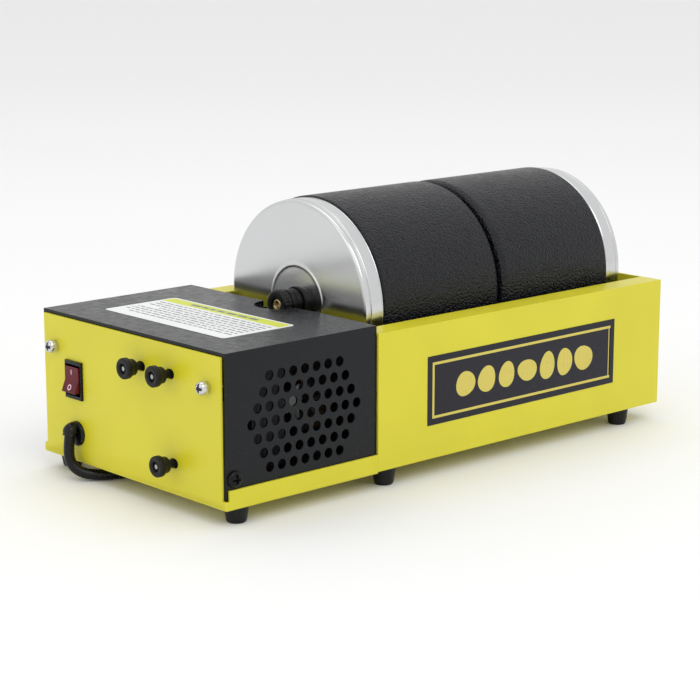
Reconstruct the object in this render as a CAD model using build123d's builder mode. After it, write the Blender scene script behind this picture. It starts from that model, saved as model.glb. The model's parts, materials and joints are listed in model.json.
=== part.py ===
from build123d import *
import math
import os

# Rotary rock tumbler with a motor box at the left end and two barrels lying end to end
# on a pair of rollers.  Millimetres.  X runs along the machine from the motor end plate
# to the tray's end wall, -Y is the decal side, +Z is up, and Z = 0 is the surface that the
# feet stand on.  X = 0 and Y = 0 are the middle of the machine's outer box.

os.makedirs("parts", exist_ok=True)

# ---------------------------------------------------------------- driving dimensions
SHEET = 1.2                 # steel sheet of every panel
WIDTH = 160.0               # outside width of pan and tray
LENGTH = 336.0              # end plate face to end wall face
FOOT_H = 9.0                # rubber foot under the pan
BARREL_AXIS_Z = 89.5        # common axis of both barrels
BARREL_R = 58.0             # outside radius of the rubber barrel
BARREL_LEN = 103.0          # lid face to closed end
BARREL_GAP = 2.7            # between the two closed ends
LID_FACE_FROM_PLATE = 116.5
KNOB_LEN = 15.0             # how far a lid knob stands out of its lid
STANDOFF_OUT = 11.5         # how far a rubber stand-off stands out of the end plate

FAR_FACE_FROM_PLATE = LID_FACE_FROM_PLATE + 2 * BARREL_LEN + BARREL_GAP
PLATE_X = -(FAR_FACE_FROM_PLATE + KNOB_LEN - STANDOFF_OUT) / 2
HALF_W = WIDTH / 2

# sheet metal
PAN_Z = FOOT_H                          # underside of the pan
PLATE_TOP = PAN_Z + 78.8
PLATE_HALF_W = 76.7
PLATE_STRIP_H = 5.0                     # full-width strip along the plate's bottom
LIP_H = 10.6
BOX_LEN = 104.0                         # end plate face to the tray
TONGUE_LEN = 24.0                       # pan floor that runs on under the tray
TONGUE_HALF_W = 62.0
BEND_R = 1.1
TRAY_Z = PAN_Z + SHEET                  # underside of the tray
TRAY_TOP = PAN_Z + 76.5
FLANGE_W = 14.8                         # tray's inward top flange
TRAY_X0 = PLATE_X + BOX_LEN
TRAY_X1 = PLATE_X + LENGTH
COVER_TOP = PAN_Z + 80.8
COVER_X0 = PLATE_X + 1.4
COVER_X1 = PLATE_X + BOX_LEN - 0.2
COVER_HALF_W = 78.7
COVER_BEND_R = 1.8

# hole positions in the end plate, as (y, z)
CHROME_SCREWS = [(66.0, PAN_Z + 62.0), (-66.0, PAN_Z + 62.0)]
MOTOR_STUDS = [(-10.4, PAN_Z + 63.6), (-34.8, PAN_Z + 63.6), (-36.8, PAN_Z + 16.8)]
STUD_HOLE_R = 2.6
STUD_SLIDE = 1.8                        # length of each stud's slot beyond its hole
SWITCH_Y = 48.6
SWITCH_Z = PAN_Z + 45.8
SWITCH_WINDOW = (7.2, 9.6)              # half width and half height
RELIEF_Y = 47.6
RELIEF_Z = PAN_Z + 16.2
RELIEF_HOLE_R = 5.4
SIDE_SCREW_X = PLATE_X + 6.6
SIDE_SCREW_Z = PAN_Z + 15.9

# ventilation pattern in the cover's sides
VENT_ROWS = [7, 8, 9, 10, 9, 8, 7]
VENT_PITCH = 7.95
VENT_R = 2.7
VENT_X = PLATE_X + 53.8
VENT_Z = PAN_Z + 41.7

# rollers, bushes and drive
SLEEVE_R = 7.0
ROLL_GAP = 0.3                          # kept free between barrel and sleeve
ROLLER_Z = PAN_Z + 24.0
ROLLER_Y = math.sqrt((BARREL_R + SLEEVE_R + ROLL_GAP) ** 2 - (BARREL_AXIS_Z - ROLLER_Z) ** 2)
SHAFT_R = 4.0
RUN_FIT = 0.05                          # radial clearance of a running fit
BUSH_R = 6.5
BUSH_FLANGE_R = 9.0
MOTOR_Y = -30.0
MOTOR_Z = PAN_Z + 41.0
MOTOR_SHAFT_R = 2.5
BELT_R = 1.75                           # round belt section
BELT_BIG_R = 19.0                       # belt centre line on the roller's pulley
BELT_SMALL_R = 5.5                      # belt centre line on the motor's pulley
PULLEY_X = PLATE_X + 90.0               # middle plane of belt and pulleys
PULLEY_HALF_W = 4.0
GROOVE_GAP = 0.3

# feet, as (x, y); the first two stand under the pan and the rest under the tray
FOOT_Y = 72.0
PAN_FEET = [(PLATE_X + 13.0, FOOT_Y), (PLATE_X + 13.0, -FOOT_Y)]
TRAY_FEET = [(PLATE_X + x, y) for x in (115.5, 308.5) for y in (FOOT_Y, -FOOT_Y)]
FOOT_TOP_R = 6.5
FOOT_BOTTOM_R = 5.3
TRAY_BOLT_Y = (-45.0, 45.0)             # bolts that join pan and tray

# mains lead
CORD_D = 6.0
COIL_X = PLATE_X + 212.0
COIL_Y = 166.0
COIL_INNER_R = 26.0
COIL_OUTER_R = 44.0
COIL_H = 12.0


# ---------------------------------------------------------------- helpers
def block(x0, x1, y0, y1, z0, z1, mode=Mode.ADD):
    """A box between two corners."""
    with Locations(((x0 + x1) / 2, (y0 + y1) / 2, (z0 + z1) / 2)):
        Box(x1 - x0, y1 - y0, z1 - z0, mode=mode)


def turned(points, y, z, mode=Mode.ADD):
    """A solid turned about a line along X; points are (x, radius)."""
    with BuildSketch(Plane(origin=(0, y, z), x_dir=(1, 0, 0), z_dir=(0, -1, 0))) as profile:
        with BuildLine():
            Polyline(*points, close=True)
        make_face()
    revolve(profile.sketch, axis=Axis((0, y, z), (1, 0, 0)), mode=mode)


def rod(x0, x1, y, z, radius, mode=Mode.ADD):
    """A plain cylinder along X."""
    turned([(x0, 0), (x1, 0), (x1, radius), (x0, radius)], y, z, mode)


def post(x, y, z0, z1, radius, mode=Mode.ADD):
    """A plain cylinder along Z."""
    with Locations((x, y, (z0 + z1) / 2)):
        Cylinder(radius, z1 - z0, mode=mode)


def side_pin(x, y0, y1, z, radius, mode=Mode.ADD):
    """A plain cylinder along Y."""
    with Locations(Location((x, (y0 + y1) / 2, z), (90, 0, 0))):
        Cylinder(radius, abs(y1 - y0), mode=mode)


def tube_x(x0, x1, y, z, outer, inner):
    """A ring or sleeve about a line along X."""
    turned([(x0, inner), (x1, inner), (x1, outer), (x0, outer)], y, z)


def save(builder, name):
    """Label a finished piece and write it."""
    builder.part.label = name
    export_step(builder.part, "parts/" + name + ".step")


def pan_head_x(x, y, z, radius, height, shank_r, shank_len):
    """A pan-head cross-recessed screw along X, with its head on the -X side of x."""
    top = x - height
    turned([(top, 0), (top, 0.45 * radius), (x - 0.9 * height, 0.7 * radius),
            (x - 0.65 * height, 0.93 * radius), (x - 0.4 * height, radius), (x, radius),
            (x, shank_r), (x + shank_len, shank_r), (x + shank_len, 0)], y, z)
    recess = 0.55 * height
    arm = 0.5 * radius
    half_slot = 0.13 * radius
    for half_y, half_z in ((arm, half_slot), (half_slot, arm)):
        block(top - 1, top + recess, y - half_y, y + half_y, z - half_z, z + half_z, Mode.SUBTRACT)


# ---------------------------------------------------------------- base pan
with BuildPart() as base_pan:
    block(PLATE_X, TRAY_X0, -HALF_W, HALF_W, PAN_Z, PAN_Z + SHEET)
    block(TRAY_X0, TRAY_X0 + TONGUE_LEN, -TONGUE_HALF_W, TONGUE_HALF_W, PAN_Z, PAN_Z + SHEET)
    block(PLATE_X, PLATE_X + SHEET, -HALF_W, HALF_W, PAN_Z, PAN_Z + PLATE_STRIP_H)
    block(PLATE_X, PLATE_X + SHEET, -PLATE_HALF_W, PLATE_HALF_W, PAN_Z + PLATE_STRIP_H, PLATE_TOP)
    for side in (-1, 1):
        outer = side * HALF_W
        inner = side * (HALF_W - SHEET)
        block(PLATE_X + SHEET, PLATE_X + 2 * SHEET, min(outer, inner), max(outer, inner),
              PAN_Z, PAN_Z + PLATE_STRIP_H)
        block(PLATE_X + 2 * SHEET, TRAY_X0 - 0.1, min(outer, inner), max(outer, inner),
              PAN_Z, PAN_Z + LIP_H)
        # ear that the cover's side screw bites into
        ear_out = side * (COVER_HALF_W - SHEET - 0.1)
        ear_in = side * (COVER_HALF_W - 2 * SHEET - 0.1)
        block(PLATE_X + SHEET, PLATE_X + 14.0, min(ear_out, ear_in), max(ear_out, ear_in),
              PAN_Z + SHEET, PAN_Z + 56.0)
        side_pin(SIDE_SCREW_X, min(ear_out, ear_in) - 1, max(ear_out, ear_in) + 1,
                 SIDE_SCREW_Z, 1.8, Mode.SUBTRACT)
    long_edges = base_pan.edges().filter_by(Axis.X).filter_by_position(Axis.Z, PAN_Z - 0.01, PAN_Z + 0.01)
    fillet(long_edges.group_by(Axis.Y)[0] + long_edges.group_by(Axis.Y)[-1], BEND_R)
    fillet(base_pan.edges().filter_by(Axis.Y).group_by(Axis.Z)[0].group_by(Axis.X)[0], BEND_R)
    # rocker switch window
    block(PLATE_X - 1, PLATE_X + 3, SWITCH_Y - SWITCH_WINDOW[0], SWITCH_Y + SWITCH_WINDOW[0],
          SWITCH_Z - SWITCH_WINDOW[1], SWITCH_Z + SWITCH_WINDOW[1], Mode.SUBTRACT)
    rod(PLATE_X - 1, PLATE_X + 3, RELIEF_Y, RELIEF_Z, RELIEF_HOLE_R, Mode.SUBTRACT)
    for stud_y, stud_z in MOTOR_STUDS:
        # slots along Y, which let the motor slide to tighten the belt
        rod(PLATE_X - 1, PLATE_X + 3, stud_y, stud_z, STUD_HOLE_R, Mode.SUBTRACT)
        rod(PLATE_X - 1, PLATE_X + 3, stud_y - STUD_SLIDE, stud_z, STUD_HOLE_R, Mode.SUBTRACT)
        block(PLATE_X - 1, PLATE_X + 3, stud_y - STUD_SLIDE, stud_y,
              stud_z - STUD_HOLE_R, stud_z + STUD_HOLE_R, Mode.SUBTRACT)
    for screw_y, screw_z in CHROME_SCREWS:
        rod(PLATE_X - 1, PLATE_X + 3, screw_y, screw_z, 2.2, Mode.SUBTRACT)
    for foot_x, foot_y in PAN_FEET:
        post(foot_x, foot_y, PAN_Z - 1, PAN_Z + 3, 2.2, Mode.SUBTRACT)
    for bolt_y in TRAY_BOLT_Y:
        post(TRAY_X0 + 14, bolt_y, PAN_Z - 1, PAN_Z + 3, 2.2, Mode.SUBTRACT)
save(base_pan, "base_pan")

# ---------------------------------------------------------------- tray channel
with BuildPart() as tray_channel:
    with BuildSketch(Plane.YZ.offset(TRAY_X0)) as channel_section:
        with BuildLine():
            outline = Polyline(
                (-HALF_W + FLANGE_W, TRAY_TOP), (-HALF_W, TRAY_TOP), (-HALF_W, TRAY_Z),
                (HALF_W, TRAY_Z), (HALF_W, TRAY_TOP), (HALF_W - FLANGE_W, TRAY_TOP),
                (HALF_W - FLANGE_W, TRAY_TOP - SHEET), (HALF_W - SHEET, TRAY_TOP - SHEET),
                (HALF_W - SHEET, TRAY_Z + SHEET), (-HALF_W + SHEET, TRAY_Z + SHEET),
                (-HALF_W + SHEET, TRAY_TOP - SHEET), (-HALF_W + FLANGE_W, TRAY_TOP - SHEET),
                close=True)
        make_face()
        outer_corners = [v for v in channel_section.vertices() if abs(abs(v.Y) - HALF_W) < 0.01]
        fillet(outer_corners, BEND_R)
    extrude(amount=LENGTH - BOX_LEN)
    for foot_x, foot_y in TRAY_FEET:
        post(foot_x, foot_y, TRAY_Z - 1, TRAY_Z + 3, 2.2, Mode.SUBTRACT)
    for bolt_y in TRAY_BOLT_Y:
        post(TRAY_X0 + 14, bolt_y, TRAY_Z - 1, TRAY_Z + 3, 2.2, Mode.SUBTRACT)
save(tray_channel, "tray_channel")

# ---------------------------------------------------------------- tray partition and end wall
KNOB_NOTCH_R = 11.0
for name, wall_x0 in (("tray_partition", TRAY_X0), ("tray_end_wall", TRAY_X1 - SHEET)):
    with BuildPart() as wall:
        block(wall_x0, wall_x0 + SHEET, -HALF_W + SHEET, HALF_W - SHEET, TRAY_Z + SHEET, TRAY_TOP - SHEET)
        block(wall_x0, wall_x0 + SHEET, -HALF_W + FLANGE_W, HALF_W - FLANGE_W,
              TRAY_TOP - SHEET, TRAY_TOP)
        # notch round the lid knob and holes for the two roller bushes
        rod(wall_x0 - 1, wall_x0 + 3, 0, BARREL_AXIS_Z, KNOB_NOTCH_R, Mode.SUBTRACT)
        for bush_y in (-ROLLER_Y, ROLLER_Y):
            rod(wall_x0 - 1, wall_x0 + 3, bush_y, ROLLER_Z, BUSH_R, Mode.SUBTRACT)
    save(wall, name)

# ---------------------------------------------------------------- motor cover
COVER_BOTTOM = PAN_Z + SHEET + 0.1
COVER_NOTCH_R = 13.6
with BuildPart() as motor_cover:
    with BuildSketch(Plane.YZ.offset(COVER_X0)) as cover_section:
        with BuildLine():
            Polyline(
                (-COVER_HALF_W, COVER_BOTTOM), (-COVER_HALF_W, COVER_TOP),
                (COVER_HALF_W, COVER_TOP), (COVER_HALF_W, COVER_BOTTOM),
                (COVER_HALF_W - SHEET, COVER_BOTTOM), (COVER_HALF_W - SHEET, COVER_TOP - SHEET),
                (-COVER_HALF_W + SHEET, COVER_TOP - SHEET), (-COVER_HALF_W + SHEET, COVER_BOTTOM),
                close=True)
        make_face()
        fillet([v for v in cover_section.vertices() if abs(v.Z - COVER_TOP) < 0.01], COVER_BEND_R)
    extrude(amount=COVER_X1 - COVER_X0)
    inside = COVER_HALF_W - SHEET
    # front flange with two ears for the chrome screws, and rear flange against the partition
    block(COVER_X0, COVER_X0 + SHEET, -inside, inside, COVER_TOP - 9.0, COVER_TOP - SHEET)
    for screw_y, screw_z in CHROME_SCREWS:
        block(COVER_X0, COVER_X0 + SHEET, screw_y - 8, screw_y + 8, screw_z - 8, COVER_TOP - 9.0)
        rod(COVER_X0 - 1, COVER_X0 + 3, screw_y, screw_z, 2.05, Mode.SUBTRACT)
    block(COVER_X1 - SHEET, COVER_X1, -inside, inside, COVER_TOP - 14.0, COVER_TOP - SHEET)
    # notch for the lid knob: a bite out of the top and of the rear flange
    with Locations((COVER_X1 - 0.5, 0, COVER_TOP)):
        Cylinder(COVER_NOTCH_R, 6.0, mode=Mode.SUBTRACT)
    rod(COVER_X1 - 3, COVER_X1 + 1, 0, BARREL_AXIS_Z, KNOB_NOTCH_R, Mode.SUBTRACT)
    for side in (-1, 1):
        side_pin(SIDE_SCREW_X, side * (COVER_HALF_W - 3), side * (COVER_HALF_W + 1),
                 SIDE_SCREW_Z, 2.05, Mode.SUBTRACT)
    # the vent pattern goes through both sides
    with BuildSketch(Plane.XZ) as vents:
        for row, count in enumerate(VENT_ROWS):
            row_z = VENT_Z + (3 - row) * VENT_PITCH
            with Locations((VENT_X, row_z)):
                with GridLocations(VENT_PITCH, 1, count, 1):
                    Circle(VENT_R)
    extrude(amount=COVER_HALF_W + 1, both=True, mode=Mode.SUBTRACT)
save(motor_cover, "motor_cover")

# ---------------------------------------------------------------- label and decal
LABEL_T = 0.2
with BuildPart() as info_label:
    with BuildSketch(Plane.XY.offset(COVER_TOP)):
        with Locations((PLATE_X + 47.7, 1.4)):
            RectangleRounded(48.6, 103.4, 2.5)
    extrude(amount=LABEL_T)
save(info_label, "info_label")

with BuildPart() as front_decal:
    with BuildSketch(Plane.XZ.offset(HALF_W)):
        with Locations((PLATE_X + 217.2, PAN_Z + 39.2)):
            Rectangle(153.7, 38.5)
    extrude(amount=LABEL_T)
save(front_decal, "front_decal")

# ---------------------------------------------------------------- cover and plate screws
CHROME_COLLAR = 2.6                     # spacer ring between the head and the plate
with BuildPart() as cover_front_screws:
    for screw_y, screw_z in CHROME_SCREWS:
        pan_head_x(PLATE_X - CHROME_COLLAR, screw_y, screw_z, 3.7, 3.2, 1.95, 11.6)
        tube_x(PLATE_X - CHROME_COLLAR, PLATE_X, screw_y, screw_z, 3.3, 1.95)
save(cover_front_screws, "cover_front_screws")

with BuildPart() as cover_side_screws:
    for side in (-1, 1):
        base_y = side * COVER_HALF_W
        side_pin(SIDE_SCREW_X, base_y, side * (COVER_HALF_W - 8), SIDE_SCREW_Z, 1.75)
        side_pin(SIDE_SCREW_X, base_y, side * (COVER_HALF_W + 2.4), SIDE_SCREW_Z, 4.5)
    fillet(cover_side_screws.faces().sort_by(Axis.Y)[0].edges(), 1.5)
    fillet(cover_side_screws.faces().sort_by(Axis.Y)[-1].edges(), 1.5)
    for side in (-1, 1):
        for half_x, half_z in ((2.4, 0.55), (0.55, 2.4)):
            block(SIDE_SCREW_X - half_x, SIDE_SCREW_X + half_x,
                  min(side * (COVER_HALF_W + 1.0), side * (COVER_HALF_W + 3)),
                  max(side * (COVER_HALF_W + 1.0), side * (COVER_HALF_W + 3)),
                  SIDE_SCREW_Z - half_z, SIDE_SCREW_Z + half_z, Mode.SUBTRACT)
save(cover_side_screws, "cover_side_screws")

# ---------------------------------------------------------------- feet and their fasteners
with BuildPart() as rubber_feet:
    for (foot_x, foot_y), top_z in ([(foot, PAN_Z) for foot in PAN_FEET]
                                    + [(foot, TRAY_Z) for foot in TRAY_FEET]):
        with BuildSketch(Plane.XZ.offset(-foot_y)):
            with BuildLine():
                Polyline((foot_x + 2.1, 3.0), (foot_x + 2.1, top_z), (foot_x + FOOT_TOP_R, top_z),
                         (foot_x + FOOT_TOP_R - 0.2, top_z - 2.5), (foot_x + FOOT_BOTTOM_R, 0.9),
                         (foot_x + FOOT_BOTTOM_R - 0.9, 0), (foot_x + 3.0, 0), (foot_x + 3.0, 3.0),
                         close=True)
            make_face()
        revolve(axis=Axis((foot_x, foot_y, 0), (0, 0, 1)))
save(rubber_feet, "rubber_feet")

with BuildPart() as foot_screws:
    for foot_x, foot_y in PAN_FEET + TRAY_FEET:
        post(foot_x, foot_y, 0.6, 3.0, 2.8)
        post(foot_x, foot_y, 3.0, FOOT_H + 7.0, 1.95)
save(foot_screws, "foot_screws")

with BuildPart() as chassis_nuts:
    for nut_x, nut_y, floor_z in ([(x, y, PAN_Z + SHEET) for x, y in PAN_FEET]
                                  + [(x, y, TRAY_Z + SHEET) for x, y in TRAY_FEET]
                                  + [(TRAY_X0 + 14, y, TRAY_Z + SHEET) for y in TRAY_BOLT_Y]):
        with BuildSketch(Plane.XY.offset(floor_z)):
            with Locations((nut_x, nut_y)):
                RegularPolygon(4.0, 6)
                Circle(2.0, mode=Mode.SUBTRACT)
        extrude(amount=3.0)
save(chassis_nuts, "chassis_nuts")

with BuildPart() as tray_bolts:
    for bolt_y in TRAY_BOLT_Y:
        post(TRAY_X0 + 14, bolt_y, PAN_Z - 2.4, PAN_Z, 3.9)
        post(TRAY_X0 + 14, bolt_y, PAN_Z, TRAY_Z + SHEET + 5.0, 1.95)
save(tray_bolts, "tray_bolts")

# ---------------------------------------------------------------- rocker switch
BEZEL_HALF_Y = 7.5
BEZEL_HALF_Z = 10.5
BEZEL_OUT = 1.6
SWITCH_DEPTH = 14.0
ROCKER_HALF_Y = 6.2
ROCKER_HALF_Z = 7.6
ROCKER_PIVOT_X = PLATE_X - 0.4
ROCKER_TILT = 10.0
with BuildPart() as switch_body:
    block(PLATE_X - BEZEL_OUT, PLATE_X, SWITCH_Y - BEZEL_HALF_Y, SWITCH_Y + BEZEL_HALF_Y,
          SWITCH_Z - BEZEL_HALF_Z, SWITCH_Z + BEZEL_HALF_Z)
    fillet(switch_body.faces().sort_by(Axis.X)[0].edges(), 0.5)
    block(PLATE_X, PLATE_X + SWITCH_DEPTH, SWITCH_Y - 7.1, SWITCH_Y + 7.1, SWITCH_Z - 9.3, SWITCH_Z + 9.3)
    block(PLATE_X - 3, PLATE_X + 9, SWITCH_Y - ROCKER_HALF_Y - 0.4, SWITCH_Y + ROCKER_HALF_Y + 0.4,
          SWITCH_Z - ROCKER_HALF_Z - 0.9, SWITCH_Z + ROCKER_HALF_Z + 0.9, Mode.SUBTRACT)
save(switch_body, "switch_body")

with BuildPart() as switch_terminals:
    for tab_z in (-6, 0, 6):
        block(PLATE_X + SWITCH_DEPTH, PLATE_X + 22, SWITCH_Y - 2.4, SWITCH_Y + 2.4,
              SWITCH_Z + tab_z - 0.4, SWITCH_Z + tab_z + 0.4)
save(switch_terminals, "switch_terminals")

# The rocker's two faces meet in a shallow valley.  It is drawn level, then tipped about its
# pivot so that the upper end is pressed in.
rocker_profile = [(-3.4, -7.3), (-1.9, 0.0), (-3.4, 7.3), (2.0, 6.2), (4.2, 0.0), (2.0, -6.2)]
tilt = math.radians(ROCKER_TILT)
with BuildPart() as rocker:
    with BuildSketch(Plane(origin=(ROCKER_PIVOT_X, SWITCH_Y, SWITCH_Z), x_dir=(1, 0, 0), z_dir=(0, -1, 0))):
        with BuildLine():
            Polyline(*[(x * math.cos(tilt) + z * math.sin(tilt), z * math.cos(tilt) - x * math.sin(tilt))
                       for x, z in rocker_profile], close=True)
        make_face()
    extrude(amount=ROCKER_HALF_Y, both=True)
    fillet(rocker.edges().filter_by(Axis.Y).group_by(Axis.X)[0], 0.5)
save(rocker, "rocker")

# ---------------------------------------------------------------- strain relief and mains lead
HOOD_R = 4.4
HOOD_X = PLATE_X - 4.9                  # line down which the lead leaves the hood
HOOD_Z = RELIEF_Z + 1.0
HOOD_BOTTOM = RELIEF_Z + 0.4
FLANGE_FACE = PLATE_X - 1.8
with BuildPart() as strain_relief:
    # round flange outside the plate and shank through it
    turned([(PLATE_X + 6, 0), (PLATE_X + 6, 4.6), (PLATE_X, RELIEF_HOLE_R - 0.1), (PLATE_X, 7.0),
            (PLATE_X - 1.0, 7.0), (FLANGE_FACE, 6.2), (FLANGE_FACE, 0)], RELIEF_Y, RELIEF_Z)
    # hood that turns the lead downward, open at its underside
    rod(HOOD_X, PLATE_X - 1.0, RELIEF_Y, HOOD_Z, HOOD_R)
    with Locations((HOOD_X, RELIEF_Y, HOOD_Z)):
        Sphere(HOOD_R)
    block(HOOD_X - 2 * HOOD_R, FLANGE_FACE, RELIEF_Y - 2 * HOOD_R, RELIEF_Y + 2 * HOOD_R,
          HOOD_BOTTOM - 2 * HOOD_R, HOOD_BOTTOM, Mode.SUBTRACT)
    post(HOOD_X, RELIEF_Y, HOOD_BOTTOM - 1.0, HOOD_BOTTOM + 1.6, CORD_D / 2 + 0.1, Mode.SUBTRACT)
save(strain_relief, "strain_relief")

# Route of the lead, hand laid: down out of the hood, under the pan, out at the back and on
# to the coil.  x is measured from the end plate.
lead_route = [
    (-4.9, RELIEF_Y, 27.0),
    (-6.6, RELIEF_Y, 17.0),
    (-6.4, 45.4, 8.8),
    (-1.2, 39.8, 3.6),
    (13.0, 31.2, 3.0),
    (32.0, 30.0, 3.0),
    (52.0, 39.5, 3.0),
    (68.0, 58.0, 3.0),
    (84.0, 86.0, 3.0),
    (110.0, 112.0, 3.0),
    (150.0, 125.0, 3.0),
    (196.0, 125.2, 3.0),
]
LEAD_RUN_SHARE = 0.45
lead_points = [Vector(PLATE_X + x, y, z) for x, y, z in lead_route]


def corner_radii(points):
    """The largest arc that each corner's two runs allow."""
    radii = []
    for before, here, after in zip(points, points[1:], points[2:]):
        run_in = here - before
        run_out = after - here
        half_turn = math.radians(run_in.get_angle(run_out)) / 2
        radii.append(LEAD_RUN_SHARE * min(run_in.length, run_out.length) / math.tan(half_turn))
    return radii


def round_tube(builder_name, points, diameter):
    """Sweep a round section along runs joined by tangent arcs, and report its volume."""
    radii = corner_radii(points)
    with BuildPart() as tube:
        with BuildLine() as path:
            FilletPolyline(*points, radius=radii)
        with BuildSketch(Plane(origin=points[0], z_dir=points[1] - points[0])):
            Circle(diameter / 2)
        sweep(path=path.wires()[0])
    expected = math.pi * diameter ** 2 / 4 * path.wires()[0].length
    print(builder_name, "radii", [round(r, 1) for r in radii])
    print(builder_name, "length", round(path.wires()[0].length, 1),
          "volume ratio", round(tube.part.volume / expected, 4))
    save(tube, builder_name)


round_tube("power_cord", lead_points, CORD_D)

with BuildPart() as cord_coil:
    with Locations((COIL_X, COIL_Y, COIL_H / 2)):
        Cylinder(COIL_OUTER_R, COIL_H)
        Cylinder(COIL_INNER_R, COIL_H, mode=Mode.SUBTRACT)
    fillet(cord_coil.edges().filter_by(GeomType.CIRCLE), 2.5)
save(cord_coil, "cord_coil")

# The free end leaves the coil's outer turn and runs to the plug.
tail_route = [
    (208.0, COIL_Y + 40.9, 9.0),
    (190.0, COIL_Y + 42.5, 5.6),
    (172.0, COIL_Y + 38.0, 3.6),
    (152.0, COIL_Y + 28.0, 5.0),
]
tail_points = [Vector(PLATE_X + x, y, z) for x, y, z in tail_route]
round_tube("cord_tail", tail_points, CORD_D)

PLUG_H = 13.0
PLUG_LEN = 30.0
plug_dir = Vector(-0.894, -0.447, 0)
plug_plane = Plane(origin=Vector(tail_points[-1].X, tail_points[-1].Y, PLUG_H / 2),
                   x_dir=Vector(0.447, -0.894, 0), z_dir=plug_dir)
with BuildPart() as power_plug:
    with BuildSketch(plug_plane):
        RectangleRounded(8.5, 8.0, 3.6)
    with BuildSketch(plug_plane.offset(9)):
        RectangleRounded(15.0, 12.0, 5.0)
    loft()
    with BuildSketch(plug_plane.offset(9)):
        RectangleRounded(24.0, PLUG_H, 6.0)
    extrude(amount=PLUG_LEN - 9)
save(power_plug, "power_plug")

with BuildPart() as plug_prongs:
    with BuildSketch(plug_plane.offset(PLUG_LEN)):
        with Locations((-6.35, 0), (6.35, 0)):
            Rectangle(1.5, 6.3)
    extrude(amount=16.0)
save(plug_prongs, "plug_prongs")

# ---------------------------------------------------------------- motor mounting
MOTOR_PLATE_X = PLATE_X + 12.0
STANDOFF_X = PLATE_X - STANDOFF_OUT
with BuildPart() as rubber_standoffs:
    for stud_y, stud_z in MOTOR_STUDS:
        turned([(STANDOFF_X, 1.2), (STANDOFF_X, 5.0), (STANDOFF_X + 0.6, 5.6), (STANDOFF_X + 3.8, 5.6),
                (STANDOFF_X + 4.4, 5.0), (STANDOFF_X + 4.4, 4.0), (STANDOFF_X + 7.4, 4.0),
                (STANDOFF_X + 8.0, 3.4), (STANDOFF_X + 8.0, 2.2), (PLATE_X + SHEET, 2.2),
                (PLATE_X + SHEET, 5.5), (MOTOR_PLATE_X, 5.5), (MOTOR_PLATE_X, 1.2)], stud_y, stud_z)
        rod(STANDOFF_X - 1.0, STANDOFF_X + 2.0, stud_y, stud_z, 2.6, Mode.SUBTRACT)
save(rubber_standoffs, "rubber_standoffs")

with BuildPart() as mount_screws:
    for stud_y, stud_z in MOTOR_STUDS:
        rod(STANDOFF_X + 0.8, MOTOR_PLATE_X + 7.0, stud_y, stud_z, 1.15)
save(mount_screws, "mount_screws")

STACK_HALF_Y = 27.0
STACK_LOW_Z = MOTOR_Z - 31.0
STACK_HIGH_Z = MOTOR_Z + 22.0
with BuildPart() as motor_plate:
    block(MOTOR_PLATE_X, MOTOR_PLATE_X + 1.6, -56.0, -4.0, PAN_Z + 10.0, PAN_Z + 70.0)
    for stud_y, stud_z in MOTOR_STUDS:
        rod(MOTOR_PLATE_X - 1, MOTOR_PLATE_X + 3, stud_y, stud_z, 1.25, Mode.SUBTRACT)
    rod(MOTOR_PLATE_X - 1, MOTOR_PLATE_X + 3, MOTOR_Y, MOTOR_Z, 9.0, Mode.SUBTRACT)
save(motor_plate, "motor_plate")

# ---------------------------------------------------------------- shaded-pole motor
STACK_X0 = PLATE_X + 36.0
STACK_X1 = PLATE_X + 58.0
ROTOR_R = 13.0
ROTOR_BORE_R = 13.4
STACK_BOLTS = [(MOTOR_Y - 20.0, MOTOR_Z), (MOTOR_Y + 20.0, MOTOR_Z)]
with BuildPart() as motor_stator:
    block(STACK_X0, STACK_X1, MOTOR_Y - STACK_HALF_Y, MOTOR_Y + STACK_HALF_Y, STACK_LOW_Z, STACK_HIGH_Z)
    rod(STACK_X0 - 1, STACK_X1 + 1, MOTOR_Y, MOTOR_Z, ROTOR_BORE_R, Mode.SUBTRACT)
    # window that leaves the bottom limb for the coil
    block(STACK_X0 - 1, STACK_X1 + 1, MOTOR_Y - 17.0, MOTOR_Y + 17.0,
          STACK_LOW_Z + 9.0, STACK_LOW_Z + 14.6, Mode.SUBTRACT)
    for bolt_y, bolt_z in STACK_BOLTS:
        rod(STACK_X0 - 1, STACK_X1 + 1, bolt_y, bolt_z, 1.7, Mode.SUBTRACT)
save(motor_stator, "motor_stator")

with BuildPart() as motor_coil:
    block(STACK_X0 - 5.4, STACK_X1 + 5.4, MOTOR_Y - 16.5, MOTOR_Y + 16.5,
          STACK_LOW_Z - 5.4, STACK_LOW_Z + 14.4)
    fillet(motor_coil.edges().filter_by(Axis.Y), 4.0)
    block(STACK_X0 - 0.2, STACK_X1 + 0.2, MOTOR_Y - 17.5, MOTOR_Y + 17.5,
          STACK_LOW_Z - 0.2, STACK_LOW_Z + 9.2, Mode.SUBTRACT)
save(motor_coil, "motor_coil")

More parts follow.
